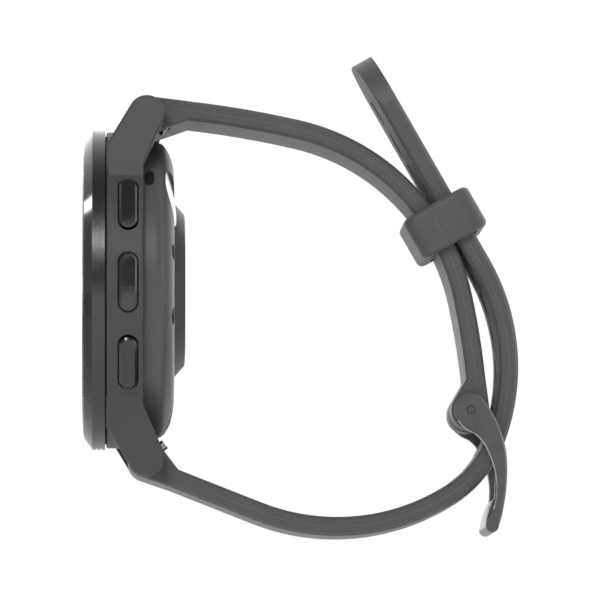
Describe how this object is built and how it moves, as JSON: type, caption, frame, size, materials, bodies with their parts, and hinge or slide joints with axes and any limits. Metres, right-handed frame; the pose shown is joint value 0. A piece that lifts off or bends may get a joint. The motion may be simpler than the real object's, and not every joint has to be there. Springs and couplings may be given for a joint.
{
  "type": "golf gps watch",
  "caption": "Round golf GPS watch with a domed cover glass, side push buttons, a raised sensor window and a silicone strap buckled into a loop through a free keeper.",
  "frame": {"origin": "centre of the flat face of the sensor window on the case back, which rests on the wrist", "axes": "+X to 3 o'clock, +Z to 12 o'clock, +Y out of the case back towards the wrist; the dial faces -Y"},
  "size_m": [0.0474, 0.0642, 0.0711],
  "materials": {
    "lens_glass": "polished, black behind",
    "bezel_metal": "glossy black chamfer, satin side",
    "case_polymer": "fine matte",
    "cover_polymer": "fine matte",
    "silicone": "matte moulded silicone",
    "buckle_steel": "dark satin",
    "button_metal": "dark, polished bevel",
    "plain_steel": "satin",
    "screw_steel": "satin",
    "seal_rubber": "matte",
    "display_black": "gloss",
    "frame_plastic": "matte",
    "antenna_metal": "gold plated",
    "circuit_board": "solder mask",
    "shield_metal": "tinned",
    "battery_foil": "foil pouch",
    "motor_steel": "satin",
    "window_black": "gloss",
    "led_white": "gloss",
    "contact_gold": "gold plated",
    "vent_metal": "satin",
    "mesh_black": "mesh"
  },
  "bodies": {
    "watch": {"cover_glass": "lens_glass", "glass_gasket": "seal_rubber", "bezel_ring": "bezel_metal", "bezel_gasket": "seal_rubber", "display_module": "display_black", "mid_case": "case_polymer", "inner_frame": "frame_plastic", "antenna_band": "antenna_metal", "main_board": "circuit_board", "board_shields": "shield_metal", "battery": "battery_foil", "vibration_motor": "motor_steel", "speaker": "frame_plastic", "button_seals": "seal_rubber", "button_bushes": "plain_steel", "button_switches": "shield_metal", "rear_cover": "cover_polymer", "rear_gasket": "seal_rubber", "rear_screws": "screw_steel", "sensor_window": "window_black", "sensor_board": "circuit_board", "sensor_leds": "led_white", "light_baffle": "frame_plastic", "charging_port": "frame_plastic", "charging_contacts": "contact_gold", "vent_disc": "vent_metal", "microphone_mesh": "mesh_black", "upper_strap": "silicone", "lower_strap": "silicone", "buckle_pin": "plain_steel", "upper_button_spring": "plain_steel", "middle_button_spring": "plain_steel", "lower_button_spring": "plain_steel", "upper_bar_tube": "plain_steel", "upper_release_spring": "plain_steel", "lower_bar_tube": "plain_steel", "lower_release_spring": "plain_steel"},
    "upper_button": {"upper_button": "button_metal", "upper_button_clip": "plain_steel"},
    "middle_button": {"middle_button": "button_metal", "middle_button_clip": "plain_steel"},
    "lower_button": {"lower_button": "button_metal", "lower_button_clip": "plain_steel"},
    "buckle_frame": {"buckle_frame": "buckle_steel"},
    "buckle_tongue": {"buckle_tongue": "buckle_steel"},
    "keeper_loop": {"keeper_loop": "silicone"},
    "upper_release_pin": {"upper_release_pin": "plain_steel"},
    "lower_release_pin": {"lower_release_pin": "plain_steel"}
  },
  "joints": [
    {"name": "upper_button_press", "type": "slide", "parent": "watch", "child": "upper_button", "axis": [-0.866, 0, -0.5], "range_m": [0, 0.00045], "stiffness_N_per_m": 1500, "springref_m": -0.0006, "deforming": ["upper_button_spring"]},
    {"name": "middle_button_press", "type": "slide", "parent": "watch", "child": "middle_button", "axis": [-1, 0, 0], "range_m": [0, 0.00045], "stiffness_N_per_m": 1500, "springref_m": -0.0006, "deforming": ["middle_button_spring"]},
    {"name": "lower_button_press", "type": "slide", "parent": "watch", "child": "lower_button", "axis": [-0.866, 0, 0.5], "range_m": [0, 0.00045], "stiffness_N_per_m": 1500, "springref_m": -0.0006, "deforming": ["lower_button_spring"]},
    {"name": "buckle_frame_pivot", "type": "hinge", "parent": "watch", "child": "buckle_frame", "pos_m": [0, 0.04168, -0.01805], "axis": [1, 0, 0], "range_deg": [-9, 0]},
    {"name": "buckle_tongue_pivot", "type": "hinge", "parent": "watch", "child": "buckle_tongue", "pos_m": [0, 0.04168, -0.01805], "axis": [1, 0, 0], "range_deg": [0, 1.5]},
    {"name": "keeper_slide", "type": "slide", "parent": "watch", "child": "keeper_loop", "axis": [0, -0.497, 0.8678], "range_m": [-0.0015, 0.0008]},
    {"name": "upper_release_slide", "type": "slide", "parent": "watch", "child": "upper_release_pin", "axis": [-1, 0, 0], "range_m": [0, 0.0015], "stiffness_N_per_m": 300, "springref_m": -0.002, "deforming": ["upper_release_spring"]},
    {"name": "lower_release_slide", "type": "slide", "parent": "watch", "child": "lower_release_pin", "axis": [-1, 0, 0], "range_m": [0, 0.0015], "stiffness_N_per_m": 300, "springref_m": -0.002, "deforming": ["lower_release_spring"]}
  ]
}
